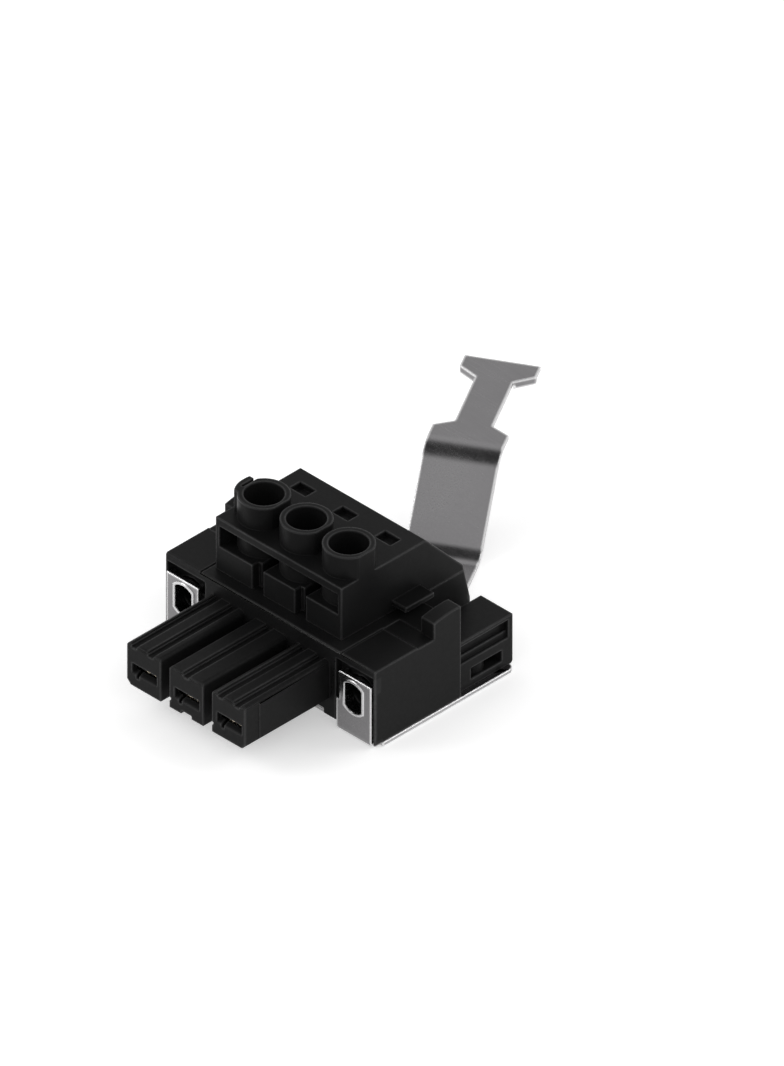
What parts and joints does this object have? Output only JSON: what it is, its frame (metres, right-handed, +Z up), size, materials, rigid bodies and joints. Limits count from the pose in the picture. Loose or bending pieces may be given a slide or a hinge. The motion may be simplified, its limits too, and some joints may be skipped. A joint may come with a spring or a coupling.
{
  "type": "pcb plug connector",
  "caption": "Screw clamp plug with slotted socket fingers, flanges, screwdriver tubes and a folded shield plate with a raised T-headed cable arm.",
  "frame": {"origin": "underside of the shield plate, midway along it, under the middle pole", "axes": "+X along the row of poles, +Y from the socket fingers to the wire entries, +Z up from the plate"},
  "size_m": [0.0433, 0.0793, 0.0235],
  "materials": {
    "housing_plastic": "fine matte moulded glass-filled polyamide",
    "cover_plastic": "fine matte moulded glass-filled polyamide",
    "contact_copper": "tin plated copper alloy strip",
    "spring_steel": "bright spring steel",
    "yoke_steel": "galvanised steel",
    "screw_steel": "galvanised steel",
    "shield_sheet": "satin nickel plated sheet with coined edges"
  },
  "bodies": {
    "root": {"housing_base": "housing_plastic", "clamp_cover": "cover_plastic", "shield_plate": "shield_sheet", "contact_1": "contact_copper", "contact_spring_1": "spring_steel", "contact_2": "contact_copper", "contact_spring_2": "spring_steel", "contact_3": "contact_copper", "contact_spring_3": "spring_steel"},
    "yoke_1": {"clamp_yoke_1": "yoke_steel"},
    "screw_1": {"clamp_screw_1": "screw_steel"},
    "yoke_2": {"clamp_yoke_2": "yoke_steel"},
    "screw_2": {"clamp_screw_2": "screw_steel"},
    "yoke_3": {"clamp_yoke_3": "yoke_steel"},
    "screw_3": {"clamp_screw_3": "screw_steel"}
  },
  "joints": [
    {"name": "screw_1_turn", "type": "hinge", "parent": "root", "child": "screw_1", "pos_m": [-0.00762, -0.006, 0.0165], "axis": [0, 0, 1], "range_deg": [0, 2016]},
    {"name": "yoke_1_lift", "type": "slide", "parent": "root", "child": "yoke_1", "axis": [0, 0, 1], "range_m": [0, 0.0028]},
    {"name": "screw_2_turn", "type": "hinge", "parent": "root", "child": "screw_2", "pos_m": [0, -0.006, 0.0165], "axis": [0, 0, 1], "range_deg": [0, 2016]},
    {"name": "yoke_2_lift", "type": "slide", "parent": "root", "child": "yoke_2", "axis": [0, 0, 1], "range_m": [0, 0.0028]},
    {"name": "screw_3_turn", "type": "hinge", "parent": "root", "child": "screw_3", "pos_m": [0.00762, -0.006, 0.0165], "axis": [0, 0, 1], "range_deg": [0, 2016]},
    {"name": "yoke_3_lift", "type": "slide", "parent": "root", "child": "yoke_3", "axis": [0, 0, 1], "range_m": [0, 0.0028]}
  ],
  "couplings": [
    {"joint": "screw_1_turn", "follows": "yoke_1_lift", "rad_per_m": 12566},
    {"joint": "screw_2_turn", "follows": "yoke_2_lift", "rad_per_m": 12566},
    {"joint": "screw_3_turn", "follows": "yoke_3_lift", "rad_per_m": 12566}
  ]
}
